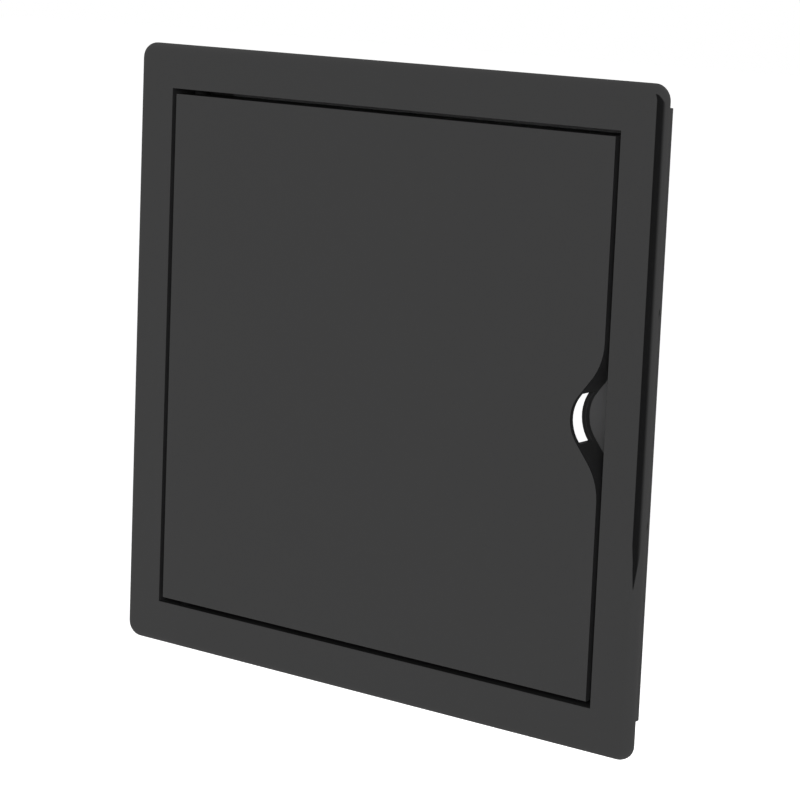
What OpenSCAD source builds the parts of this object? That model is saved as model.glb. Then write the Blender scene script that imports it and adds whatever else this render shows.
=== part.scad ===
// Recessed access panel for a wall: a flanged frame with a mounting collar,
// and a flush leaf that hinges on its left edge and opens by a finger notch.
// X runs to the right, Y into the wall and Z up. The origin is the centre of
// the panel on the wall's surface, where the back of the flange rests.
// Every depth is counted from the front face into the wall.

/* [Flange] */
// Width and height of the square flange
flange_side = 218; // [212:1:240]
// Depth of the flange's edge in front of the wall
flange_depth = 3.5; // [3:0.1:5]
// Thickness of the flange's front skin
flange_skin = 2.2; // [1.8:0.1:2.6]
// Corner radius of the flange, seen from the front
flange_corner_r = 5.5; // [4:0.5:8]
// Rounding of the flange's front edge
flange_edge_r = 2.8; // [1:0.1:2.9]
// Width of the lip that rests on the wall
lip_w = 2; // [1.5:0.1:3]

/* [Opening] */
// Width and height of the square opening in the flange
opening_side = 187; // [180:1:190]
// Gap between the leaf and the frame, all round
edge_gap = 1.75; // [1.6:0.05:2]
// Thickness of the wall round the leaf
rebate_wall = 1.8; // [1.5:0.1:2.2]

/* [Collar] */
// Outside width and height of the square mounting collar
collar_side = 201; // [199:1:206]
// Thickness of the collar's walls
collar_wall = 2; // [1.6:0.1:2.4]
// Depth of the collar's back edge
collar_depth = 19.5; // [19:0.5:60]
// Thickness of the webs between the collar and the wall round the leaf
web_t = 1.5; // [1:0.1:2]
// Spacing of the webs
web_pitch = 31; // [20:1:40]
// Webs on each side of the middle
web_reach = 2; // [1:1:2]

/* [Seat] */
// Thickness of the seat that the leaf closes on
seat_t = 1.8; // [1.6:0.1:2.2]
// How far the seat reaches in behind the leaf's edge
seat_lap = 1.5; // [1.2:0.1:3]
// Gap between the closed leaf's rim and the seat
seat_gap = 0.25; // [0.2:0.05:0.4]
// Clearance of the frame from the leaf's edge as it swings in
swing_clear = 0.6; // [0.4:0.1:1]
// Height of the closed corner behind each end of the hinge
corner_h = 30; // [28:1:34]
// Thickness of the closed corners' walls
corner_t = 1.5; // [1.2:0.1:2]

/* [Leaf] */
// Thickness of the leaf's front skin
leaf_skin = 2; // [1.6:0.1:2.2]
// Thickness of the rim round the leaf
rim_t = 1.6; // [1.2:0.1:2]
// Depth of the rim's back edge
rim_depth = 11.7; // [11.4:0.1:12]
// Depth of the rim beside the hinge, where the leaf's edge swings in
hinge_rim_depth = 10; // [9.9:0.1:10.4]
// Thickness of the stiffening ribs
rib_t = 1.2; // [1:0.1:1.6]
// Height of the ribs behind the skin
rib_h = 3; // [2:0.1:4]
// Spacing of the ribs
rib_pitch = 40; // [36:1:44]

/* [Finger notch] */
// Depth of the notch in the leaf's free edge
notch_depth = 11.6; // [10:0.1:13]
// Radius at the bottom of the notch
notch_r = 12; // [11:0.5:14]
// Radius where the notch runs out into the edge
flare_r = 20; // [14:1:22]
// Angle of the notch's flanks to the leaf's edge
flank_angle = 38; // [35:1:42]
// Width of the slot that takes the fingertip
pull_w = 16.4; // [10:0.1:17]
// Opening of that slot behind the skin
pull_h = 7.5; // [7:0.1:7.8]

/* [Hinge] */
// Distance of the hinge axis from the leaf's edge
hinge_inset = 8; // [8:0.1:9]
// Depth of the hinge axis
hinge_depth = 5; // [4.9:0.1:5.1]
// Diameter of the hinge pins
pin_d = 3; // [2.5:0.1:3.2]
// Radial clearance of a pin in its socket or guide
pin_clear = 0.05; // [0.02:0.01:0.08]
// Radial clearance of what is pushed in by hand
push_clear = 0.02; // [0.01:0.01:0.05]
// Reach of a pin into the frame
pin_reach = 3; // [2.5:0.1:3.2]
// Spare depth at the end of a pin's hole
pin_end_gap = 0.4; // [0.2:0.1:0.6]
// Length of the lower pin in the leaf
pin_grip = 12; // [8:1:16]
// Thickness of the material round a pin
boss_wall = 1.8; // [1.5:0.1:2]
// Wall of the hub round each socket's mouth
hub_wall = 1.2; // [1:0.1:1.4]
// Gap between a hub and the leaf's end
hub_clear = 0.1; // [0.05:0.05:0.2]

/* [Sprung pin] */
// Travel of the upper pin when it is drawn back
pin_travel = 5; // [4.9:0.1:5.6]
// Length of the guide at the leaf's end
end_guide = 6; // [5:0.5:8]
// Length of the guide at the pin's tail
tail_guide = 8; // [8:0.5:10]
// Length of the tail inside its guide at rest
tail_grip = 2.5; // [2:0.1:2.8]
// Diameter of the pin's shoulder
shoulder_d = 5; // [4.9:0.1:5.2]
// Thickness of the pin's shoulder and its arm
shoulder_t = 1.6; // [1.4:0.1:2]
// Gap between the shoulder and the guide it stops on
stop_gap = 0.05; // [0.02:0.01:0.1]
// Width of the arm and the finger tab
tab_w = 3; // [2.4:0.1:3.2]
// Length of the finger tab along the pin
tab_l = 5; // [3:0.1:5.5]
// Thickness of the finger tab
tab_t = 2.6; // [1.6:0.1:2.8]
// Length of the spring at rest
spring_l = 12; // [10:0.5:14]
// Outside diameter of the spring
spring_d = 4.8; // [4.6:0.1:4.9]
// Thickness of the spring's wire
wire_d = 0.5; // [0.4:0.05:0.55]
// Turns of the spring that are open
open_turns = 5; // [4:1:6]
// Clearance round the spring and the shoulder
chamber_clear = 0.3; // [0.2:0.05:0.35]
// Clearance between the arm and the cover's slot
slot_clear = 0.3; // [0.2:0.05:0.4]
// Thickness of the cover over the pin
cover_t = 1.2; // [1:0.1:1.3]
// Clearance round the cover
cover_clear = 0.3; // [0.2:0.05:0.4]

/* [Catch] */
// Distance of each catch from the middle of the leaf
catch_z = 60; // [56:1:62]
// Length of a magnet
magnet_l = 12; // [10:1:14]
// Width of a magnet
magnet_w = 5.5; // [4:0.1:5.6]
// Thickness of a magnet
magnet_t = 3; // [2:0.1:3.5]
// Clearance round a magnet in its pocket
magnet_clear = 0.05; // [0.02:0.01:0.1]
// Wall round a magnet
pocket_wall = 1.5; // [1.2:0.1:1.6]
// Length of a strike plate
strike_l = 24; // [22:1:26]
// Width of a strike plate
strike_w = 7; // [6.6:0.1:7.2]
// Thickness of a strike plate
strike_t = 1.2; // [1:0.1:1.5]
// Gap between a strike plate and the rim
strike_inset = 0.4; // [0.3:0.05:0.6]
// Thickness of the walls of the strike plates' pads
pad_wall = 1.3; // [1:0.1:1.5]

/* [Screws] */
// Diameter of the small screws
screw_d = 2.2; // [2:0.1:2.4]
// Length of the small screws
screw_l = 6; // [5:0.1:6.4]
// Diameter of the screws' countersunk heads
head_d = 4.2; // [4:0.1:4.3]
// Spare depth under the tips of the small screws
screw_spare = 0.3; // [0.2:0.05:0.4]

/* [Fixing holes] */
// Diameter of the fixing holes in the collar
fixing_d = 4.2; // [3.5:0.1:4.5]
// Spacing of the fixing holes in each side
fixing_pitch = 70; // [50:1:80]
// Depth of the fixing holes' axes
fixing_depth = 16.2; // [15.8:0.1:16.4]

/* [Hidden] */
$fn = 64;
black = [0.05, 0.05, 0.055];
steel = [0.6, 0.6, 0.62];
nickel = [0.72, 0.71, 0.68];
// Overlap of shapes that are joined or cut through
eps = 0.01;
tip_chamfer = 0.4;
point_l = 1.2;
cross_w = 0.5;
cross_depth = 0.7;
// Room left at each end of the spring
spring_rest = 0.01;
steps_a_turn = 20;
wire_sides = 8;
opening_half = opening_side / 2;
leaf_half = opening_half - edge_gap;
collar_half = collar_side / 2;
web_side = collar_half - collar_wall;
seat_depth = rim_depth + seat_gap;
seat_back = seat_depth + seat_t;

apex_x = leaf_half - notch_depth;
arc_x = apex_x + notch_r;
flare_x = leaf_half - flare_r;
flank_x0 = arc_x - notch_r * cos(flank_angle);
flank_z0 = notch_r * sin(flank_angle);
flank_x1 = flare_x + flare_r * cos(flank_angle);
flank_z1 = flank_z0 + (flank_x1 - flank_x0) / tan(flank_angle);
notch_half = flank_z1 + flare_r * sin(flank_angle);

hinge_x = -leaf_half + hinge_inset;
socket_d = pin_d + 2 * pin_clear;
hub_h = edge_gap - hub_clear;
swing_r = norm([hinge_inset, max(hinge_depth, hinge_rim_depth - hinge_depth)]);
seat_start_x = hinge_x + swing_r + swing_clear;
corner_depth = hinge_depth + swing_r + swing_clear;
boss_half = pin_d / 2 + boss_wall;
boss_back = hinge_depth + boss_half;

chamber_half = shoulder_d / 2 + chamber_clear;
shoulder_top = leaf_half - end_guide - stop_gap;
shoulder_z = shoulder_top - shoulder_t;
spring_z = shoulder_z - spring_l;
boss_z = spring_z - tail_guide;
screw_core_d = screw_d + 2 * push_clear;
cover_screw_x = hinge_x + chamber_half + boss_wall + screw_d / 2;
carrier_x = cover_screw_x + screw_d / 2 + boss_wall;
cover_back = boss_back + cover_t;
cover_left = -leaf_half + rim_t + cover_clear;
cover_top = leaf_half - rim_t - cover_clear;
cover_screws_z = [boss_z + cover_clear + head_d, cover_top - head_d];
tab_front = cover_back + slot_clear;

magnet_x = leaf_half - rim_t - strike_inset - strike_w / 2;
pocket_back = seat_depth + magnet_t + pocket_wall;
pad_back = rim_depth - strike_t;
strike_screw_z = (strike_l - strike_w) / 2;
head_h = (head_d - screw_d) / 2;
screw_hole_l = screw_l + screw_spare;

// A flat shape drawn as seen from the front, carried from one depth to another
module slab(front, back) {
    translate([0, back - flange_depth, 0])
        rotate([90, 0, 0])
            linear_extrude(back - front) children();
}

// A block from its left, right, bottom and top edges and its two depths
module block(left, right, bottom, top, front, back) {
    slab(front, back)
        translate([left, bottom]) square([right - left, top - bottom]);
}

// A round bar along Z on the hinge axis
module on_axis(d, bottom, top) {
    translate([hinge_x, hinge_depth - flange_depth, bottom])
        cylinder(d = d, h = top - bottom);
}

// A round hole or bar along Y, between two depths
module bar_in(x, z, d, front, back) {
    slab(front, back)
        translate([x, z]) circle(d = d);
}

module square_ring(outer, inner) {
    difference() {
        square(outer, center = true);
        square(inner, center = true);
    }
}

// The finger notch as a flat shape, with its outline moved into the leaf by inset
module notch_shape(inset = 0) {
    far_x = leaf_half + edge_gap + rebate_wall / 2;
    edge_x = leaf_half - inset;
    r_in = notch_r + inset;
    r_out = flare_r - inset;
    low = [arc_x - r_in * cos(flank_angle), r_in * sin(flank_angle)];
    high = [flare_x + r_out * cos(flank_angle), notch_half - r_out * sin(flank_angle)];
    difference() {
        polygon([[far_x, notch_half], [edge_x, notch_half], high, low,
                 [low.x, -low.y], [high.x, -high.y], [edge_x, -notch_half], [far_x, -notch_half]]);
        for (side = [-1, 1])
            translate([flare_x, side * notch_half]) circle(r = r_out);
    }
    translate([arc_x, 0]) circle(r = r_in);
}

// The leaf's outline seen from the front, moved inwards by inset
module leaf_shape(inset = 0) {
    difference() {
        square(2 * (leaf_half - inset), center = true);
        notch_shape(inset);
    }
}

// Half of the flange's edge, with its rounded front, from the corner's centre out
module edge_profile() {
    straight = flange_corner_r - flange_edge_r;
    square([straight, flange_depth]);
    square([flange_corner_r, flange_depth - flange_edge_r]);
    intersection() {
        translate([straight, flange_depth - flange_edge_r]) circle(r = flange_edge_r);
        translate([straight, flange_depth - flange_edge_r]) square(flange_edge_r);
    }
}

// The flange before its opening, with the wall at z = 0 and the front upwards
module flange_blank() {
    core = flange_side - 2 * flange_corner_r;
    linear_extrude(flange_depth) square(core, center = true);
    for (turn = [0:90:270])
        rotate([0, 0, turn]) {
            translate([core / 2, core / 2, 0])
                rotate([90, 0, 0])
                    linear_extrude(core) edge_profile();
            translate([core / 2, core / 2, 0])
                rotate_extrude(angle = 90) edge_profile();
        }
}

module webs() {
    for (turn = [0:90:270], step = [-web_reach:web_reach])
        rotate([0, turn, 0])
            block(step * web_pitch - web_t / 2, step * web_pitch + web_t / 2,
                  opening_half + rebate_wall - eps, web_side + eps,
                  flange_skin - eps, seat_back);
}

// The block that holds the upper hinge socket, behind the flange
module socket_block() {
    block(hinge_x - boss_half, hinge_x + boss_half,
          opening_half, web_side + eps, flange_skin - eps, boss_back);
}

// The hub that stands out of the wall round the socket's mouth
module hub() {
    on_axis(socket_d + 2 * hub_wall, opening_half - hub_h, opening_half + rebate_wall / 2);
}

module socket_hole() {
    on_axis(socket_d, opening_half - hub_h - eps, opening_half + pin_reach + pin_end_gap);
}

module magnet_block() {
    block(magnet_x - magnet_w / 2 - pocket_wall, opening_half + eps,
          catch_z - magnet_l / 2 - pocket_wall, catch_z + magnet_l / 2 + pocket_wall,
          seat_depth, pocket_back);
}

module magnet_body(clear) {
    block(magnet_x - magnet_w / 2 - clear, magnet_x + magnet_w / 2 + clear,
          catch_z - magnet_l / 2 - clear, catch_z + magnet_l / 2 + clear,
          seat_depth, seat_depth + magnet_t);
}

module both_ends() {
    children();
    mirror([0, 0, 1]) children();
}

module seat() {
    slab(seat_depth, seat_back)
        intersection() {
            difference() {
                square(2 * opening_half + 2 * eps, center = true);
                leaf_shape(seat_lap);
            }
            translate([seat_start_x - corner_t / 2, -opening_half - eps])
                square([2 * opening_half, 2 * opening_half + 2 * eps]);
        }
}

// The closed corner that the leaf's hinge edge swings into
module hinge_corner() {
    difference() {
        block(-opening_half - rebate_wall, seat_start_x, opening_half - corner_h,
              opening_half + rebate_wall, seat_depth, corner_depth + corner_t);
        block(-opening_half, seat_start_x - corner_t, opening_half - corner_h - eps,
              opening_half, seat_depth - eps, corner_depth);
    }
}

// The two round holes in each upright side of the collar
module fixing_holes() {
    for (side = [-1, 1], end = [-1, 1])
        translate([side * (collar_half - collar_wall / 2), fixing_depth - flange_depth,
                   end * fixing_pitch / 2])
            rotate([0, 90, 0])
                cylinder(d = fixing_d, h = collar_wall + 1, center = true);
}

module frame_blank() {
    difference() {
        rotate([90, 0, 0]) flange_blank();
        slab(flange_skin, flange_depth + eps)
            square_ring(flange_side - 2 * lip_w, collar_side);
        slab(flange_skin, flange_depth + eps)
            square(2 * web_side, center = true);
    }
    slab(flange_skin, collar_depth) square_ring(collar_side, 2 * web_side);
    slab(flange_skin - eps, seat_back)
        square_ring(2 * (opening_half + rebate_wall), 2 * opening_half);
    seat();
    webs();
    both_ends() {
        magnet_block();
        socket_block();
        hinge_corner();
    }
}

module frame() {
    color(black)
        difference() {
            union() {
                difference() {
                    frame_blank();
                    slab(-eps, seat_depth) square(2 * opening_half, center = true);
                }
                both_ends() hub();
            }
            both_ends() {
                magnet_body(magnet_clear);
                socket_hole();
            }
            fixing_holes();
        }
}

// The ribs behind the skin; the middle one across stops short of the notch
module ribs() {
    inner = leaf_half - rim_t + eps;
    back = leaf_skin + rib_h;
    for (step = [-1:1]) {
        right = step == 0 ? rib_pitch : inner;
        block(step * rib_pitch - rib_t / 2, step * rib_pitch + rib_t / 2,
              -inner, inner, leaf_skin - eps, back);
        block(-inner, right, step * rib_pitch - rib_t / 2, step * rib_pitch + rib_t / 2,
              leaf_skin - eps, back);
    }
}

// The boss round the lower pin, between the skin and the rim
module lower_boss() {
    top = -leaf_half + pin_grip + boss_wall;
    on_axis(2 * boss_half, -leaf_half, top);
    block(-leaf_half + rim_t - eps, hinge_x + boss_half, -leaf_half, top,
          leaf_skin - eps, hinge_depth);
}

// The carrier of the upper pin before it is hollowed
module carrier() {
    block(-leaf_half + rim_t - eps, carrier_x, boss_z, leaf_half, leaf_skin - eps, boss_back);
}

// The guide and the spring's chamber, both open at the back
module carrier_hollow() {
    guide_half = socket_d / 2;
    on_axis(socket_d, boss_z - eps, leaf_half + eps);
    block(hinge_x - guide_half, hinge_x + guide_half, boss_z - eps, leaf_half + eps,
          hinge_depth, hinge_rim_depth + eps);
    on_axis(2 * chamber_half, spring_z, leaf_half - end_guide);
    block(hinge_x - chamber_half, hinge_x + chamber_half, spring_z, leaf_half - end_guide,
          hinge_depth, boss_back + eps);
    for (z = cover_screws_z)
        bar_in(cover_screw_x, z, screw_core_d, cover_back - screw_hole_l, boss_back + eps);
}

// The hollow pad under the upper strike plate, with its two screw bosses
module strike_pad() {
    left = magnet_x - strike_w / 2;
    right = leaf_half - rim_t + eps;
    bottom = catch_z - strike_l / 2;
    top = catch_z + strike_l / 2;
    difference() {
        union() {
            difference() {
                block(left, right, bottom, top, leaf_skin - eps, pad_back);
                block(left + pad_wall, right - pad_wall, bottom + pad_wall, top - pad_wall,
                      leaf_skin, pad_back + eps);
            }
            for (side = [-1, 1])
                bar_in(magnet_x, catch_z + side * strike_screw_z, screw_d + 2 * pad_wall,
                       leaf_skin - eps, pad_back);
        }
        for (side = [-1, 1])
            bar_in(magnet_x, catch_z + side * strike_screw_z, screw_core_d,
                   rim_depth - screw_hole_l, pad_back + eps);
    }
}

module door_leaf() {
    color(black)
        difference() {
            union() {
                slab(0, leaf_skin) leaf_shape();
                slab(leaf_skin - eps, rim_depth)
                    difference() {
                        leaf_shape();
                        leaf_shape(rim_t);
                    }
                ribs();
                lower_boss();
                carrier();
                both_ends() strike_pad();
            }
            block(apex_x - rim_t - eps, arc_x, -pull_w / 2, pull_w / 2,
                  leaf_skin, leaf_skin + pull_h);
            block(-leaf_half - eps, carrier_x, -leaf_half - eps, leaf_half + eps,
                  hinge_rim_depth, rim_depth + eps);
            on_axis(pin_d + 2 * push_clear, -leaf_half - eps, -leaf_half + pin_grip);
            carrier_hollow();
        }
}

// A pin's tip, narrowed a little so that it finds its socket
module pin_tip(z) {
    translate([hinge_x, hinge_depth - flange_depth, z])
        cylinder(d1 = pin_d, d2 = pin_d - 2 * tip_chamfer, h = tip_chamfer);
}

module lower_hinge_pin() {
    color(steel)
        mirror([0, 0, 1]) {
            on_axis(pin_d, leaf_half - pin_grip, opening_half + pin_reach - tip_chamfer);
            pin_tip(opening_half + pin_reach - tip_chamfer);
        }
}

module upper_hinge_pin() {
    color(black) {
        on_axis(pin_d, spring_z - tail_grip, opening_half + pin_reach - tip_chamfer);
        pin_tip(opening_half + pin_reach - tip_chamfer);
        on_axis(shoulder_d, shoulder_z, shoulder_top);
        block(hinge_x - tab_w / 2, hinge_x + tab_w / 2, shoulder_z, shoulder_top,
              hinge_depth, tab_front + eps);
        block(hinge_x - tab_w / 2, hinge_x + tab_w / 2, shoulder_top - tab_l, shoulder_top,
              tab_front, tab_front + tab_t);
    }
}

// Height of the spring's wire after a number of turns, with one closed turn at each end
function wire_z(turn) =
    let (turns = open_turns + 2, closed = wire_d + 2 * spring_rest,
         rise = spring_l - wire_d - 2 * spring_rest)
    turn <= 1 ? closed * turn
    : turn >= turns - 1 ? rise - closed * (turns - turn)
    : closed + (rise - 2 * closed) * (turn - 1) / open_turns;

module hinge_pin_spring() {
    turns = open_turns + 2;
    rings = turns * steps_a_turn;
    coil_r = (spring_d - wire_d) / 2;
    points = [for (i = [0:rings], j = [0:wire_sides - 1])
        let (around = 360 * i / steps_a_turn, round_wire = 360 * j / wire_sides,
             r = coil_r + wire_d / 2 * cos(round_wire))
        [r * cos(around), r * sin(around),
         wire_z(i / steps_a_turn) + wire_d / 2 * sin(round_wire)]];
    sides = [for (i = [0:rings - 1], j = [0:wire_sides - 1])
        let (next = (j + 1) % wire_sides, here = i * wire_sides, above = here + wire_sides)
        [here + j, above + j, above + next, here + next]];
    first = [for (j = [0:wire_sides - 1]) j];
    last = [for (j = [wire_sides - 1:-1:0]) rings * wire_sides + j];
    color(steel)
        translate([hinge_x, hinge_depth - flange_depth, spring_z + wire_d / 2 + spring_rest])
            polyhedron(points, concat([first, last], sides));
}

// The hole for a countersunk screw, with the head's face at a depth
module screw_seat(x, z, back, through) {
    translate([x, back - flange_depth, z])
        rotate([90, 0, 0]) {
            cylinder(d1 = head_d + 2 * push_clear, d2 = screw_core_d, h = head_h);
            translate([0, 0, -eps]) cylinder(d = screw_core_d, h = through + 2 * eps);
        }
}

module hinge_pin_cover() {
    slot_half = tab_w / 2 + slot_clear;
    color(black)
        difference() {
            block(cover_left, carrier_x - cover_clear, boss_z + cover_clear, cover_top,
                  boss_back, cover_back);
            block(hinge_x - slot_half, hinge_x + slot_half,
                  shoulder_z - pin_travel - slot_clear, shoulder_top + slot_clear,
                  boss_back - eps, cover_back + eps);
            for (z = cover_screws_z)
                screw_seat(cover_screw_x, z, cover_back, cover_t);
        }
}

module upper_magnet() {
    color(nickel) magnet_body(0);
}

module lower_magnet() {
    mirror([0, 0, 1]) upper_magnet();
}

module upper_strike_plate() {
    color(steel)
        difference() {
            slab(pad_back, rim_depth)
                translate([magnet_x, catch_z]) {
                    square([strike_w, strike_l - strike_w], center = true);
                    for (side = [-1, 1])
                        translate([0, side * strike_screw_z]) circle(d = strike_w);
                }
            for (side = [-1, 1])
                screw_seat(magnet_x, catch_z + side * strike_screw_z, rim_depth, strike_t);
        }
}

module lower_strike_plate() {
    mirror([0, 0, 1]) upper_strike_plate();
}

// A countersunk screw that points to the front, with a cross in its head
module small_screw(x, z, back) {
    shank = screw_l - point_l;
    translate([x, back - flange_depth, z])
        rotate([90, 0, 0])
            difference() {
                union() {
                    cylinder(d1 = head_d, d2 = screw_d, h = head_h);
                    cylinder(d = screw_d, h = shank);
                    translate([0, 0, shank])
                        cylinder(d1 = screw_d, d2 = screw_d / 4, h = point_l);
                }
                for (turn = [0, 90])
                    rotate([0, 0, turn])
                        translate([0, 0, cross_depth / 2 - eps])
                            cube([head_d / 2, cross_w, cross_depth], center = true);
            }
}

module small_screws() {
    color(steel) {
        for (z = cover_screws_z)
            small_screw(cover_screw_x, z, cover_back);
        for (end = [-1, 1], side = [-1, 1])
            small_screw(magnet_x, end * catch_z + side * strike_screw_z, rim_depth);
    }
}

frame();
door_leaf();
lower_hinge_pin();
upper_hinge_pin();
hinge_pin_spring();
hinge_pin_cover();
upper_magnet();
lower_magnet();
upper_strike_plate();
lower_strike_plate();
small_screws();
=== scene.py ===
"""Finishes, small round edges and a studio for a black recessed access panel.

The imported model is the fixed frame. Each operator finishes one group of its
pieces, and the last one sets up the floor, the lights, the dark card that the
flange's rounded edge mirrors, and the camera.
"""

import math

import bmesh
import bpy
from bpy.props import FloatProperty, FloatVectorProperty, PointerProperty
from bpy.types import Operator, Panel, PropertyGroup
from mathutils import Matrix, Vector


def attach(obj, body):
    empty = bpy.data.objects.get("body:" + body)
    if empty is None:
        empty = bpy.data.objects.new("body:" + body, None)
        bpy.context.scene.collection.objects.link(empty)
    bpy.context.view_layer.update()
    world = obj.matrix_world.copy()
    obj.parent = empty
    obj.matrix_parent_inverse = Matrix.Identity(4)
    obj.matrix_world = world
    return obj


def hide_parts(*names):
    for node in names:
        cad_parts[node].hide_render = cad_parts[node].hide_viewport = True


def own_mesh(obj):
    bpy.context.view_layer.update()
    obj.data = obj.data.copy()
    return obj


bl_info = {
    "name": "Recessed access panel",
    "version": (1, 0, 0),
    "blender": (4, 5, 0),
    "location": "3D Viewport > Sidebar > Access panel",
    "description": "Finishes a black plastic access panel and sets up its studio",
    "category": "Object",
}

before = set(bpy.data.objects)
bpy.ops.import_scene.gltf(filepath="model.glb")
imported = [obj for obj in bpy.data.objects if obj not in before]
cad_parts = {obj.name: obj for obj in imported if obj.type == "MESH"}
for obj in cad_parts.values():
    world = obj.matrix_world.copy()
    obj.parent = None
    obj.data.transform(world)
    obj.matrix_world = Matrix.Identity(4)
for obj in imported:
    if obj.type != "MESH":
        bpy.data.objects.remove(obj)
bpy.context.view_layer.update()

MM = 0.001

# Depths are along Y, with the wall's surface at 0 and the front face at -3.5 mm
FRONT = -3.5 * MM
WALL_SURFACE = 0.05 * MM
FACE_BACK = FRONT + 0.4 * MM
OPENING_HALF = 93.5 * MM
OPENING_WALL = OPENING_HALF + 0.5 * MM
SEAT_FACE = 8.45 * MM
SEAT_SLACK = 0.2 * MM
RIM_MIDDLE = 91 * MM
NOTCH_START = 62 * MM
NOTCH_HALF = 30 * MM
NOTCH_WALL_TURN = 0.05
HINGE_AXIS = (-83.75 * MM, 1.5 * MM)
HUB_HALF = 2.9 * MM
HUB_START = 91.8 * MM

# Two points closer than this are one; facets flatter than this are one face
MERGE = 0.001 * MM
FLAT_ANGLE = math.radians(0.6)
SHARP_ANGLE = math.radians(32)
WIRE_ANGLE = math.radians(60)

# The share of a face's normal along Y where the face is turned to the wall or to the
# room, and where it stands square to it
TURNED = 0.5
SQUARE = 0.9

# Each moulded finish: its material, its colour and its roughness among the settings,
# its grain, the strength of its relief and its specular level
MOULDED = {
    "polished": ("polished black", "colour", "gloss", 0.0, 0.12, 0.5),
    "satin": ("satin black", "wall_colour", "satin", 1.0, 0.35, 0.3),
    # The seat's satin finish is its own, but its light colour is painted light, so that the seat
    # behind the notch reads as lit as the face
    "seat": ("eroded seat with painted light", "seat_painted_light_colour", "satin", 1.0, 0.5, 0.4),
    "back": ("satin back", "back_colour", "satin", 1.0, 0.35, 0.32),
    # The hubs' near-black colour and low specular level are painted shade: they stand for the
    # shade in the gap at the hinge's ends
    "hub": ("shade-painted hub", "hub_painted_shade_colour", "dull", 1.0, 0.35, 0.05),
    "small": ("fine satin black", "wall_colour", "fine_satin", 0.4, 0.3, 0.4),
}
PLASTIC_IOR = 1.5
RELIEF_DEPTH = 0.02 * MM

# Each metal finish: its material, its colour among the settings, and its roughness
# where it is bright and where it is dull
METALS = {
    "pin": ("drawn steel", "steel", 0.22, 0.34),
    "spring": ("spring wire", "steel", 0.2, 0.3),
    "magnet": ("plated nickel", "nickel", 0.14, 0.24),
    "strike": ("plated zinc", "zinc", 0.3, 0.5),
    "screw": ("screw steel", "steel", 0.25, 0.4),
}
METAL_RELIEF = 0.25

# The camera stands to the right of the panel and a little above it
CAMERA_PLACE = (0.53048, -0.70635, 0.15753)
CAMERA_TURN = (81.0506, -2.3319, 36.8355)
FOCAL_PIXELS = 2639.83
PICTURE_PIXELS = 800
SENSOR_WIDTH = 36.0
AXIS_PIXEL_Y = 330
CLIP_START = 0.01
CLIP_END = 100

# The floor's colour, and its own glow for the camera, which brings its lit part to white
FLOOR_COLOUR = (0.9, 0.9, 0.9, 1)
FLOOR_ROUGHNESS = 0.9
FLOOR_GLOW = 0.66
WHITE = (1, 1, 1, 1)

# The room's light as polished plastic mirrors it: bright in front, and darker
# the flatter the light strikes, so that a rounded edge keeps the face's tone.
# Each stop is half of one plus the cosine to BRIGHT_SIDE, and a brightness.
BRIGHT_SIDE = (0.591, -0.7875, 0.1756)
ROOM_STOPS = ((0.0, 0.04), (0.008, 0.066), (0.030, 0.104), (0.067, 0.159), (0.117, 0.234),
              (0.179, 0.332), (0.25, 0.45), (0.329, 0.573), (0.413, 0.692), (0.5, 0.798),
              (0.62, 0.901), (0.75, 0.964), (1.0, 1.0))
ROOM_PEAK = 1.04

# A dark card curved round the panel's right edge, which only polish mirrors. Each of its
# edges is a share of the turn in degrees and of the height in millimetres, whose sum
# takes the card from clear at the first number to dark at the second.
CARD_AXIS = (106.2 * MM, -0.7 * MM)
CARD_RADIUS = 6 * MM
CARD_TURNS = (-30, 96)
CARD_HEIGHTS = (-56 * MM, 110 * MM)
CARD_STEPS = 72
CARD_DARKNESS = 0.97
CARD_EDGES = (
    ("left", 1.0, 0.0, -19.0, -17.2),
    ("right", -1.0, 0.0, -80.6, -36.7),
    ("bottom", 0.0, 1.0, -52.8, -51.8),
    ("bottom left", 1.0, 1.99, -95.8, -93.3),
    ("bottom right", -0.241, 1.0, -57.3, -55.3),
    ("top", 0.0, -1.0, -107.3, -106.6),
    ("top left", 0.053, -1.0, -107.6, -107.0),
    ("top right", -0.075, -1.0, -108.6, -106.9),
)


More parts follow.
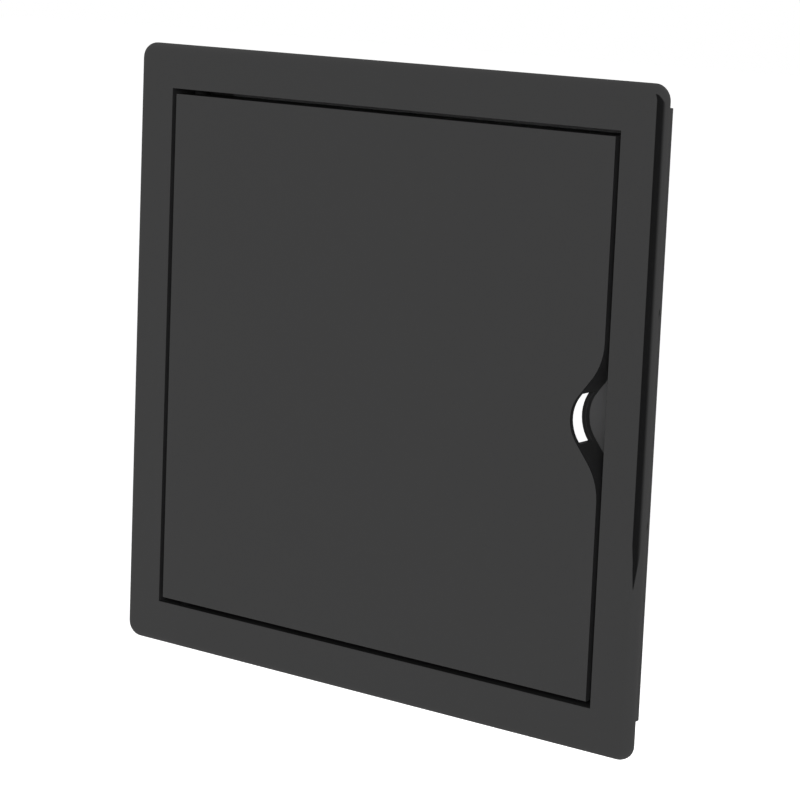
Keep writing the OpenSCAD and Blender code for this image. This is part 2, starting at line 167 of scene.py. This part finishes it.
class MouldingFinish(PropertyGroup):
    """Sizes and colours of the moulded plastic"""

    colour: FloatVectorProperty(
        name="Colour", description="Colour of the polished black plastic, linear",
        subtype="COLOR", size=3, min=0, max=1, default=(0.0065, 0.0065, 0.0067))
    wall_colour: FloatVectorProperty(
        name="Wall colour", description="Colour of the unpolished walls behind the face, linear",
        subtype="COLOR", size=3, min=0, max=1, default=(0.016, 0.016, 0.0164))
    # Partly painted light: the seat's colour is lighter than the walls' so that it reads as lit as
    # the face
    seat_painted_light_colour: FloatVectorProperty(
        name="Seat colour", description="Colour of the eroded seat with painted light behind the leaf, linear",
        subtype="COLOR", size=3, min=0, max=1, default=(0.07, 0.07, 0.071))
    back_colour: FloatVectorProperty(
        name="Back colour", description="Colour of the unpolished back, linear",
        subtype="COLOR", size=3, min=0, max=1, default=(0.026, 0.026, 0.0265))
    # Painted shade: the hubs are coloured darker than the rest to stand for the shade in the gap
    # round them
    hub_painted_shade_colour: FloatVectorProperty(
        name="Hub colour", description="Colour of the dull hubs at the hinge's ends, linear",
        subtype="COLOR", size=3, min=0, max=1, default=(0.004, 0.004, 0.0041))
    gloss: FloatProperty(
        name="Gloss roughness", description="Roughness of the polished faces",
        min=0.01, max=0.5, default=0.03)
    satin: FloatProperty(
        name="Satin roughness", description="Roughness of the unpolished faces",
        min=0.1, max=0.9, default=0.42)
    fine_satin: FloatProperty(
        name="Fine satin roughness", description="Roughness of the small mouldings",
        min=0.1, max=0.9, default=0.32)
    dull: FloatProperty(
        name="Dull roughness", description="Roughness of the hubs",
        min=0.1, max=0.9, default=0.6)
    leaf_edge: FloatProperty(
        name="Leaf edge", description="Radius of the edge round the leaf's face",
        subtype="DISTANCE", unit="LENGTH", min=0.0001, max=0.0006, default=0.0004)
    opening_edge: FloatProperty(
        name="Opening edge", description="Radius of the edge round the frame's opening",
        subtype="DISTANCE", unit="LENGTH", min=0.00005, max=0.0004, default=0.00025)
    fine_edge: FloatProperty(
        name="Fine edges", description="Radius of the other sharp edges",
        subtype="DISTANCE", unit="LENGTH", min=0.00005, max=0.0002, default=0.00012)


class HardwareFinish(PropertyGroup):
    """Colours of the metal pieces and the radius of their edges"""

    steel: FloatVectorProperty(
        name="Steel", description="Colour of the pin, the spring and the screws, linear",
        subtype="COLOR", size=3, min=0, max=1, default=(0.54, 0.54, 0.56))
    zinc: FloatVectorProperty(
        name="Zinc", description="Colour of the plated strike plates, linear",
        subtype="COLOR", size=3, min=0, max=1, default=(0.55, 0.55, 0.57))
    nickel: FloatVectorProperty(
        name="Nickel", description="Colour of the plated magnets, linear",
        subtype="COLOR", size=3, min=0, max=1, default=(0.66, 0.64, 0.6))
    edge: FloatProperty(
        name="Edge radius", description="Radius of the metal pieces' edges",
        subtype="DISTANCE", unit="LENGTH", min=0.00002, max=0.0002, default=0.0001)


class StudioSetup(PropertyGroup):
    """Sizes and strengths of the studio"""

    floor_drop: FloatProperty(
        name="Floor drop", description="Height of the panel's middle over the floor",
        subtype="DISTANCE", unit="LENGTH", min=0.11, max=3, default=0.62)
    floor_size: FloatProperty(
        name="Floor size", description="Width of the floor",
        subtype="DISTANCE", unit="LENGTH", min=1, max=40, default=24)
    daylight: FloatProperty(
        name="Room light", description="Strength of the even light from all sides",
        min=0.1, max=2, default=0.4)
    lamp: FloatProperty(
        name="Lamp power", description="Power of the soft lamp beside the camera",
        subtype="POWER", unit="POWER", min=0, max=200, default=20)
    lamp_place: FloatVectorProperty(
        name="Lamp place", description="Place of the soft lamp",
        subtype="TRANSLATION", unit="LENGTH", size=3, default=(0.94, -1.27, 0.42))
    back_lamp: FloatProperty(
        name="Back lamp power", description="Power of the soft lamp behind the panel",
        subtype="POWER", unit="POWER", min=0, max=200, default=20)
    back_lamp_place: FloatVectorProperty(
        name="Back lamp place", description="Place of the soft lamp behind the panel",
        subtype="TRANSLATION", unit="LENGTH", size=3, default=(-0.3, 1.5, 0.75))
    lamp_size: FloatProperty(
        name="Lamp size", description="Width of each soft lamp",
        subtype="DISTANCE", unit="LENGTH", min=0.1, max=3, default=0.7)


def deselect():
    """Leaves edit mode and clears the selection."""
    if bpy.context.object and bpy.context.object.mode != "OBJECT":
        bpy.ops.object.mode_set(mode="OBJECT")
    bpy.ops.object.select_all(action="DESELECT")


def make_active(piece):
    """Selects the piece alone."""
    deselect()
    piece.select_set(True)
    bpy.context.view_layer.objects.active = piece


def link(tree, source, target):
    tree.links.new(source, target)


def add_node(tree, kind, **values):
    """A node with its properties set."""
    node = tree.nodes.new(kind)
    for name, value in values.items():
        setattr(node, name, value)
    return node


def calculate(tree, operation, first, second=None):
    """A Math node on sockets or numbers; gives its output socket."""
    node = add_node(tree, "ShaderNodeMath", operation=operation)
    for index, value in enumerate((first, second)):
        if isinstance(value, (int, float)):
            node.inputs[index].default_value = value
        elif value is not None:
            link(tree, value, node.inputs[index])
    return node.outputs[0]


def ramp(tree, value, low, high, from_value=0.0, to_value=1.0):
    """A smooth change from one value to another between low and high."""
    node = add_node(tree, "ShaderNodeMapRange", interpolation_type="SMOOTHSTEP")
    link(tree, value, node.inputs["Value"])
    for name, number in (("From Min", low), ("From Max", high),
                         ("To Min", from_value), ("To Max", to_value)):
        node.inputs[name].default_value = number
    return node.outputs["Result"]


def new_group(name, inputs, outputs):
    """A shader node group with float inputs (name, default) and float outputs."""
    group = bpy.data.node_groups.new(name, "ShaderNodeTree")
    for label, value in inputs:
        socket = group.interface.new_socket(label, in_out="INPUT", socket_type="NodeSocketFloat")
        socket.default_value = value
    for label in outputs:
        group.interface.new_socket(label, in_out="OUTPUT", socket_type="NodeSocketFloat")
    return group, group.nodes.new("NodeGroupInput"), group.nodes.new("NodeGroupOutput")


def noise(tree, coordinates, scale, detail=2.0, rough=0.5):
    """A noise from 0 to 1; its scale is a number or a socket."""
    node = add_node(tree, "ShaderNodeTexNoise")
    link(tree, coordinates, node.inputs["Vector"])
    if isinstance(scale, (int, float)):
        node.inputs["Scale"].default_value = scale
    else:
        link(tree, scale, node.inputs["Scale"])
    node.inputs["Detail"].default_value = detail
    node.inputs["Roughness"].default_value = rough
    return node.outputs["Fac"]


def moulded_surface_group():
    """The mould's surface: slight flow under a fine grain, with soft uneven wear."""
    group, source, target = new_group(
        "moulded surface",
        [("Roughness", 0.05), ("Spread", 0.2), ("Grain", 0.0), ("Grain size", 5200.0)],
        ["Roughness", "Height", "Shade"])
    place = add_node(group, "ShaderNodeTexCoord").outputs["Object"]
    flow = noise(group, place, scale=260.0, detail=1.0)
    grain = noise(group, place, scale=source.outputs["Grain size"], detail=3.0, rough=0.6)
    wear = noise(group, place, scale=38.0, detail=4.0, rough=0.55)
    dull = ramp(group, wear, low=0.3, high=0.7, from_value=-1.0, to_value=1.0)
    swing = calculate(group, "MULTIPLY", source.outputs["Spread"], dull)
    rough = calculate(group, "MULTIPLY", source.outputs["Roughness"],
                      calculate(group, "ADD", swing, 1.0))
    flow_share = 0.25
    height = calculate(group, "ADD", calculate(group, "MULTIPLY", flow, flow_share),
                       calculate(group, "MULTIPLY", grain, source.outputs["Grain"]))
    shade = ramp(group, wear, low=0.2, high=0.8, from_value=0.96, to_value=1.04)
    for value, name in ((rough, "Roughness"), (height, "Height"), (shade, "Shade")):
        link(group, value, target.inputs[name])
    return group


def drawn_metal_group():
    """Fine drawing lines along one axis, with spots of dull plating."""
    group, source, target = new_group(
        "drawn metal",
        [("Bright", 0.24), ("Dull", 0.42), ("Line size", 2600.0)],
        ["Roughness", "Height", "Shade"])
    place = add_node(group, "ShaderNodeTexCoord").outputs["Object"]
    stretch = add_node(group, "ShaderNodeMapping")
    along_z = 0.04
    stretch.inputs["Scale"].default_value = (1.0, 1.0, along_z)
    link(group, place, stretch.inputs["Vector"])
    lines = noise(group, stretch.outputs["Vector"], scale=source.outputs["Line size"])
    spots = noise(group, place, scale=420.0, detail=3.0)
    rough = add_node(group, "ShaderNodeMix")
    link(group, ramp(group, spots, low=0.4, high=0.7), rough.inputs["Factor"])
    link(group, source.outputs["Bright"], rough.inputs["A"])
    link(group, source.outputs["Dull"], rough.inputs["B"])
    shade = ramp(group, spots, low=0.3, high=0.7, from_value=0.9, to_value=1.08)
    for value, name in ((rough.outputs["Result"], "Roughness"), (lines, "Height"),
                        (shade, "Shade")):
        link(group, value, target.inputs[name])
    return group


def find_group(name, make):
    """The named node group, built the first time it is asked for."""
    return bpy.data.node_groups.get(name) or make()


def shaded_colour(tree, colour, shade):
    """The colour times the group's shade."""
    node = add_node(tree, "ShaderNodeMix", data_type="RGBA", blend_type="MULTIPLY")
    node.inputs["Factor"].default_value = 1.0
    node.inputs["A"].default_value = (*colour, 1.0)
    grey = add_node(tree, "ShaderNodeCombineColor")
    for socket in ("Red", "Green", "Blue"):
        link(tree, shade, grey.inputs[socket])
    link(tree, grey.outputs["Color"], node.inputs["B"])
    return node.outputs["Result"]


def surface_material(name, group, values, colour, bump):
    """A Principled material whose colour, roughness and relief come from a group."""
    material = bpy.data.materials.new(name)
    material.use_nodes = True
    tree = material.node_tree
    shader = tree.nodes["Principled BSDF"]
    surface = add_node(tree, "ShaderNodeGroup", node_tree=group)
    for label, value in values.items():
        surface.inputs[label].default_value = value
    link(tree, shaded_colour(tree, colour, surface.outputs["Shade"]), shader.inputs["Base Color"])
    link(tree, surface.outputs["Roughness"], shader.inputs["Roughness"])
    relief = add_node(tree, "ShaderNodeBump")
    relief.inputs["Strength"].default_value = bump
    relief.inputs["Distance"].default_value = RELIEF_DEPTH
    link(tree, surface.outputs["Height"], relief.inputs["Height"])
    link(tree, relief.outputs["Normal"], shader.inputs["Normal"])
    return material, shader


def plastic(finish, key):
    """One of the moulded black finishes, made the first time it is asked for."""
    name, colour, rough, grain, bump, specular = MOULDED[key]
    found = bpy.data.materials.get(name)
    if found:
        return found
    group = find_group("moulded surface", moulded_surface_group)
    material, shader = surface_material(
        name, group, {"Roughness": getattr(finish, rough), "Grain": grain},
        getattr(finish, colour), bump)
    shader.inputs["IOR"].default_value = PLASTIC_IOR
    shader.inputs["Specular IOR Level"].default_value = specular
    return material


def metal(finish, key):
    """One of the drawn or plated metals."""
    name, colour, bright, dull = METALS[key]
    group = find_group("drawn metal", drawn_metal_group)
    material, shader = surface_material(
        name, group, {"Bright": bright, "Dull": dull}, getattr(finish, colour), METAL_RELIEF)
    shader.inputs["Metallic"].default_value = 1.0
    return material


def merged_copy(node, name):
    """A copy of a CAD node's mesh with its loose triangles joined into flat faces."""
    piece = bpy.data.objects.new(name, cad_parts[node].data.copy())
    bpy.context.scene.collection.objects.link(piece)
    make_active(piece)
    bpy.ops.object.mode_set(mode="EDIT")
    bpy.ops.mesh.select_all(action="SELECT")
    bpy.ops.mesh.remove_doubles(threshold=MERGE)
    bpy.ops.mesh.dissolve_limited(angle_limit=FLAT_ANGLE)
    bpy.ops.object.mode_set(mode="OBJECT")
    return piece


def weigh_edges(piece, radius_of):
    """Marks the outer sharp edges; gives the largest radius, which weight 1 stands for."""
    drawing = bmesh.new()
    drawing.from_mesh(piece.data)
    weight = drawing.edges.layers.float.new("bevel_weight_edge")
    radii = {}
    for edge in drawing.edges:
        if len(edge.link_faces) == 2 and edge.is_convex and edge.calc_face_angle() > SHARP_ANGLE:
            low, high = (vertex.co for vertex in edge.verts)
            radii[edge] = radius_of(low, high)
    largest = max(radii.values())
    for edge, radius in radii.items():
        edge[weight] = radius / largest
    drawing.to_mesh(piece.data)
    drawing.free()
    return largest


def round_edges(piece, radius_of, segments=3):
    """Rounds the outer sharp edges of a merged piece by the radius for each."""
    make_active(piece)
    bpy.ops.object.shade_smooth_by_angle(angle=SHARP_ANGLE)
    largest = weigh_edges(piece, radius_of)
    bevel = piece.modifiers.new("round edges", "BEVEL")
    bevel.width = largest
    bevel.segments = segments
    bevel.limit_method = "WEIGHT"
    bevel.use_clamp_overlap = False
    bpy.ops.object.modifier_apply(modifier=bevel.name)
    bpy.ops.object.shade_smooth_by_angle(angle=SHARP_ANGLE)
    shading = piece.modifiers.new("flat faces stay flat", "WEIGHTED_NORMAL")
    shading.keep_sharp = True
    bpy.ops.object.modifier_apply(modifier=shading.name)


def stand_in(piece, node, body, slot):
    """The piece is shown for the CAD node, on its body. The slot is not used."""
    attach(piece, body)
    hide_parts(node)


def give_materials(piece, materials, choose):
    """Gives each face the material whose key choose gives for its middle and normal."""
    piece.data.materials.clear()
    for material in materials.values():
        piece.data.materials.append(material)
    slots = {key: slot for slot, key in enumerate(materials)}
    for face in piece.data.polygons:
        face.material_index = slots[choose(face.center, face.normal)]


def give_material(piece, material):
    """Gives all faces of the piece one material."""
    give_materials(piece, {"all": material}, lambda middle, normal: "all")


def plain(radius):
    """The same radius for every edge."""
    return lambda low, high: radius


def looks_back(normal):
    """Whether a face is turned to the wall."""
    return normal.y >= TURNED


def looks_out(normal, share=TURNED):
    """Whether a face is turned to the room by more than a share of its normal."""
    return normal.y < -share


class PANEL_OT_frame(Operator):
    """Round the frame's edges, polish its flange, leave its walls and seat satin, and paint light
    on the seat and shade on the hubs
    """

    bl_idname = "access_panel.frame"
    bl_label = "Frame"

    def execute(self, context):
        finish = context.scene.access_panel_moulding

        def radius_of(low, high):
            far = max(abs(low.x), abs(low.z), abs(high.x), abs(high.z))
            on_face = max(low.y, high.y) < FRONT + MERGE
            return finish.opening_edge if on_face and far < OPENING_HALF + MM else finish.fine_edge

        def choose(middle, normal):
            # The hubs in the gap at the hinge's ends get the finish with painted shade
            if (abs(middle.x - HINGE_AXIS[0]) < HUB_HALF
                    and HUB_START < abs(middle.z) < OPENING_HALF - MERGE):
                return "hub"
            outside = max(abs(middle.x), abs(middle.z)) > OPENING_WALL
            if outside and middle.y < WALL_SURFACE and not looks_back(normal):
                return "polished"
            if middle.y < FACE_BACK:
                return "polished"
            # The seat facing the room gets the satin finish whose lighter colour is painted light
            if abs(middle.y - SEAT_FACE) < SEAT_SLACK and looks_out(normal, SQUARE):
                return "seat"
            inside = not outside and middle.y < SEAT_FACE
            return "satin" if inside and not looks_back(normal) else "back"

        piece = merged_copy("frame", "frame_moulding")
        round_edges(piece, radius_of)
        keys = ("polished", "satin", "seat", "back", "hub")
        give_materials(piece, {key: plastic(finish, key) for key in keys}, choose)
        stand_in(piece, "frame", "frame", "frame_plastic")
        return {"FINISHED"}


class PANEL_OT_leaf(Operator):
    """Round the leaf's edges and polish its face"""

    bl_idname = "access_panel.leaf"
    bl_label = "Door leaf"

    def execute(self, context):
        finish = context.scene.access_panel_moulding

        def radius_of(low, high):
            on_face = max(low.y, high.y) < FRONT + MERGE
            return finish.leaf_edge if on_face else finish.fine_edge

        def choose(middle, normal):
            if middle.y < FRONT + finish.leaf_edge:
                return "polished"
            on_rim = max(abs(middle.x), abs(middle.z)) > RIM_MIDDLE and not looks_back(normal)
            near_notch = middle.x > NOTCH_START and abs(middle.z) < NOTCH_HALF
            in_notch = near_notch and normal.x > NOTCH_WALL_TURN
            return "satin" if on_rim or in_notch or looks_out(normal) else "back"

        piece = merged_copy("door_leaf", "leaf_moulding")
        round_edges(piece, radius_of)
        keys = ("polished", "satin", "back")
        give_materials(piece, {key: plastic(finish, key) for key in keys}, choose)
        stand_in(piece, "door_leaf", "leaf", "leaf_plastic")
        return {"FINISHED"}


class PANEL_OT_hinge(Operator):
    """Finish the hinge pins, the spring and the hinge pin's cover"""

    bl_idname = "access_panel.hinge"
    bl_label = "Hinge"

    def execute(self, context):
        moulding = context.scene.access_panel_moulding
        finish = context.scene.access_panel_hardware
        for node, body in (("hinge_pin_cover", "leaf"), ("upper_hinge_pin", "lift_out_pin")):
            piece = merged_copy(node, f"{node}_moulding")
            round_edges(piece, plain(moulding.fine_edge))
            give_material(piece, plastic(moulding, "small"))
            stand_in(piece, node, body, "small_plastic")
        pin = merged_copy("lower_hinge_pin", "lower_hinge_pin_bar")
        round_edges(pin, plain(finish.edge))
        give_material(pin, metal(finish, "pin"))
        stand_in(pin, "lower_hinge_pin", "leaf", "pin_steel")
        spring = merged_copy("hinge_pin_spring", "hinge_pin_spring_wire")
        make_active(spring)
        bpy.ops.object.shade_smooth_by_angle(angle=WIRE_ANGLE)
        give_material(spring, metal(finish, "spring"))
        stand_in(spring, "hinge_pin_spring", "leaf", "spring_steel")
        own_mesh(spring)
        return {"FINISHED"}


class PANEL_OT_catches(Operator):
    """Finish the magnets, the strike plates and the small screws"""

    bl_idname = "access_panel.catches"
    bl_label = "Catches"

    def execute(self, context):
        finish = context.scene.access_panel_hardware
        finishes = {key: metal(finish, key) for key in ("magnet", "strike", "screw")}
        for node, body, slot, key in (
                ("upper_magnet", "frame", "magnet_nickel", "magnet"),
                ("lower_magnet", "frame", "magnet_nickel", "magnet"),
                ("upper_strike_plate", "leaf", "strike_steel", "strike"),
                ("lower_strike_plate", "leaf", "strike_steel", "strike"),
                ("small_screws", "leaf", "screw_steel", "screw")):
            piece = merged_copy(node, f"{node}_metal")
            if key == "screw":
                round_edges(piece, plain(finish.edge / 2), segments=1)
            else:
                round_edges(piece, plain(finish.edge))
            give_material(piece, finishes[key])
            stand_in(piece, node, body, slot)
        return {"FINISHED"}


def room_brightness(tree, direction):
    """The falling brightness of the room round the bright side."""
    toward = add_node(tree, "ShaderNodeVectorMath", operation="DOT_PRODUCT")
    link(tree, direction, toward.inputs[0])
    toward.inputs[1].default_value = BRIGHT_SIDE
    share = calculate(tree, "MULTIPLY", calculate(tree, "ADD", toward.outputs["Value"], 1.0), 0.5)
    stops = add_node(tree, "ShaderNodeValToRGB")
    link(tree, share, stops.inputs["Fac"])
    elements = stops.color_ramp.elements
    while len(elements) < len(ROOM_STOPS):
        elements.new(0.5)
    for element, (place, brightness) in zip(elements, ROOM_STOPS):
        element.position = place
        element.color = (brightness,) * 3 + (1.0,)
    return calculate(tree, "MULTIPLY", stops.outputs["Color"], ROOM_PEAK)


def studio_world(studio):
    """White for the camera, an even room light, and a shaped room for mirrored light."""
    world = bpy.data.worlds.new("white studio")
    bpy.context.scene.world = world
    world.use_nodes = True
    tree = world.node_tree
    tree.nodes.clear()
    direction = add_node(tree, "ShaderNodeTexCoord").outputs["Generated"]
    mirrored = room_brightness(tree, direction)
    path = add_node(tree, "ShaderNodeLightPath")
    lights = []
    for strength in (studio.daylight, mirrored, 1.0):
        light = add_node(tree, "ShaderNodeBackground")
        light.inputs["Color"].default_value = WHITE
        if isinstance(strength, float):
            light.inputs["Strength"].default_value = strength
        else:
            link(tree, strength, light.inputs["Strength"])
        lights.append(light.outputs[0])
    shown = lights[0]
    for ray, light in (("Is Glossy Ray", lights[1]), ("Is Transmission Ray", lights[2]),
                       ("Is Camera Ray", lights[2])):
        mix = add_node(tree, "ShaderNodeMixShader")
        link(tree, path.outputs[ray], mix.inputs["Fac"])
        link(tree, shown, mix.inputs[1])
        link(tree, light, mix.inputs[2])
        shown = mix.outputs[0]
    link(tree, shown, add_node(tree, "ShaderNodeOutputWorld").inputs["Surface"])


def pale_floor(studio):
    """A white floor that is clear when it is looked at from below."""
    deselect()
    bpy.ops.mesh.primitive_plane_add(size=studio.floor_size, location=(0, 0, -studio.floor_drop))
    floor = bpy.context.object
    floor.name = "floor"
    floor.visible_glossy = False
    material = bpy.data.materials.new("pale floor")
    material.use_nodes = True
    tree = material.node_tree
    shader = tree.nodes["Principled BSDF"]
    shader.inputs["Base Color"].default_value = FLOOR_COLOUR
    shader.inputs["Roughness"].default_value = FLOOR_ROUGHNESS
    shader.inputs["Emission Color"].default_value = WHITE
    seen = add_node(tree, "ShaderNodeLightPath").outputs["Is Camera Ray"]
    link(tree, calculate(tree, "MULTIPLY", seen, FLOOR_GLOW), shader.inputs["Emission Strength"])
    mix = add_node(tree, "ShaderNodeMixShader")
    link(tree, add_node(tree, "ShaderNodeNewGeometry").outputs["Backfacing"], mix.inputs["Fac"])
    link(tree, shader.outputs["BSDF"], mix.inputs[1])
    link(tree, add_node(tree, "ShaderNodeBsdfTransparent").outputs[0], mix.inputs[2])
    link(tree, mix.outputs[0], tree.nodes["Material Output"].inputs["Surface"])
    floor.data.materials.append(material)


def card_material():
    """Dark in the middle of the card and clear across its edges."""
    material = bpy.data.materials.new("dark card")
    material.use_nodes = True
    tree = material.node_tree
    tree.nodes.clear()
    axes = add_node(tree, "ShaderNodeSeparateXYZ")
    link(tree, add_node(tree, "ShaderNodeTexCoord").outputs["Object"], axes.inputs[0])
    ahead = calculate(tree, "SUBTRACT", CARD_AXIS[1], axes.outputs["Y"])
    aside = calculate(tree, "SUBTRACT", axes.outputs["X"], CARD_AXIS[0])
    turn = calculate(tree, "DEGREES", calculate(tree, "ARCTAN2", aside, ahead))
    height = calculate(tree, "DIVIDE", axes.outputs["Z"], MM)
    dark = CARD_DARKNESS
    for _, turn_share, height_share, clear, full in CARD_EDGES:
        level = calculate(tree, "ADD", calculate(tree, "MULTIPLY", turn, turn_share),
                          calculate(tree, "MULTIPLY", height, height_share))
        dark = calculate(tree, "MULTIPLY", ramp(tree, level, clear, full), dark)
    mix = add_node(tree, "ShaderNodeMixShader")
    black = add_node(tree, "ShaderNodeEmission")
    black.inputs["Strength"].default_value = 0.0
    link(tree, dark, mix.inputs["Fac"])
    link(tree, add_node(tree, "ShaderNodeBsdfTransparent").outputs[0], mix.inputs[1])
    link(tree, black.outputs[0], mix.inputs[2])
    link(tree, mix.outputs[0], add_node(tree, "ShaderNodeOutputMaterial").inputs["Surface"])
    return material


def dark_card():
    """A curved card beside the right edge that is seen in polished faces only."""
    deselect()
    bpy.ops.mesh.primitive_grid_add(x_subdivisions=CARD_STEPS, y_subdivisions=1, size=1)
    card = bpy.context.object
    card.name = "dark card"
    for vertex in card.data.vertices:
        turn = math.radians(CARD_TURNS[0] + (vertex.co.x + 0.5) * (CARD_TURNS[1] - CARD_TURNS[0]))
        height = CARD_HEIGHTS[0] + (vertex.co.y + 0.5) * (CARD_HEIGHTS[1] - CARD_HEIGHTS[0])
        vertex.co = (CARD_AXIS[0] + CARD_RADIUS * math.sin(turn),
                     CARD_AXIS[1] - CARD_RADIUS * math.cos(turn), height)
    card.data.materials.append(card_material())
    for rays in ("camera", "diffuse", "transmission", "volume_scatter", "shadow"):
        setattr(card, f"visible_{rays}", False)


def soft_lamp(name, place, power, size):
    """A round lamp that looks at the panel and isn't mirrored."""
    deselect()
    bpy.ops.object.light_add(type="AREA", location=place)
    lamp = bpy.context.object
    lamp.name = name
    lamp.data.energy = power
    lamp.data.shape = "DISK"
    lamp.data.size = size
    lamp.visible_glossy = False
    lamp.rotation_mode = "QUATERNION"
    lamp.rotation_quaternion = (-Vector(place)).to_track_quat("-Z", "Y")


def picture_camera():
    """The camera at the picture's viewing angle."""
    deselect()
    bpy.ops.object.camera_add(
        location=CAMERA_PLACE, rotation=[math.radians(turn) for turn in CAMERA_TURN])
    camera = bpy.context.object
    camera.name = "picture camera"
    camera.data.sensor_width = SENSOR_WIDTH
    camera.data.lens = FOCAL_PIXELS * SENSOR_WIDTH / PICTURE_PIXELS
    camera.data.shift_y = (AXIS_PIXEL_Y - PICTURE_PIXELS / 2) / PICTURE_PIXELS
    camera.data.clip_start = CLIP_START
    camera.data.clip_end = CLIP_END
    bpy.context.scene.camera = camera


class PANEL_OT_studio(Operator):
    """Set up the pale floor, the soft light, the dark card and the camera"""

    bl_idname = "access_panel.studio"
    bl_label = "Studio"

    def execute(self, context):
        studio = context.scene.access_panel_studio
        studio_world(studio)
        pale_floor(studio)
        dark_card()
        soft_lamp("soft lamp", studio.lamp_place, studio.lamp, studio.lamp_size)
        soft_lamp("back lamp", studio.back_lamp_place, studio.back_lamp, studio.lamp_size)
        picture_camera()
        context.scene.view_settings.view_transform = "Standard"
        return {"FINISHED"}


class PANEL_PT_sidebar(Panel):
    """The panel's pieces, in the order in which they are made"""

    bl_label = "Access panel"
    bl_idname = "PANEL_PT_sidebar"
    bl_space_type = "VIEW_3D"
    bl_region_type = "UI"
    bl_category = "Access panel"

    def draw(self, context):
        for attribute, _ in SETTINGS:
            group = getattr(context.scene, attribute)
            for name in group.bl_rna.properties.keys():
                if name not in ("rna_type", "name"):
                    self.layout.prop(group, name)
        for operator in OPERATORS:
            self.layout.operator(operator.bl_idname)


SETTINGS = (("access_panel_moulding", MouldingFinish), ("access_panel_hardware", HardwareFinish),
            ("access_panel_studio", StudioSetup))
OPERATORS = (PANEL_OT_frame, PANEL_OT_leaf, PANEL_OT_hinge, PANEL_OT_catches, PANEL_OT_studio)
CLASSES = tuple(group for _, group in SETTINGS) + OPERATORS + (PANEL_PT_sidebar,)


def register():
    for item in CLASSES:
        bpy.utils.register_class(item)
    for attribute, group in SETTINGS:
        setattr(bpy.types.Scene, attribute, PointerProperty(type=group))


def unregister():
    for attribute, _ in SETTINGS:
        delattr(bpy.types.Scene, attribute)
    for item in reversed(CLASSES):
        bpy.utils.unregister_class(item)


def main():
    register()
    bpy.ops.access_panel.frame()
    bpy.ops.access_panel.leaf()
    bpy.ops.access_panel.hinge()
    bpy.ops.access_panel.catches()
    bpy.ops.access_panel.studio()


if __name__ == "__main__":
    main()
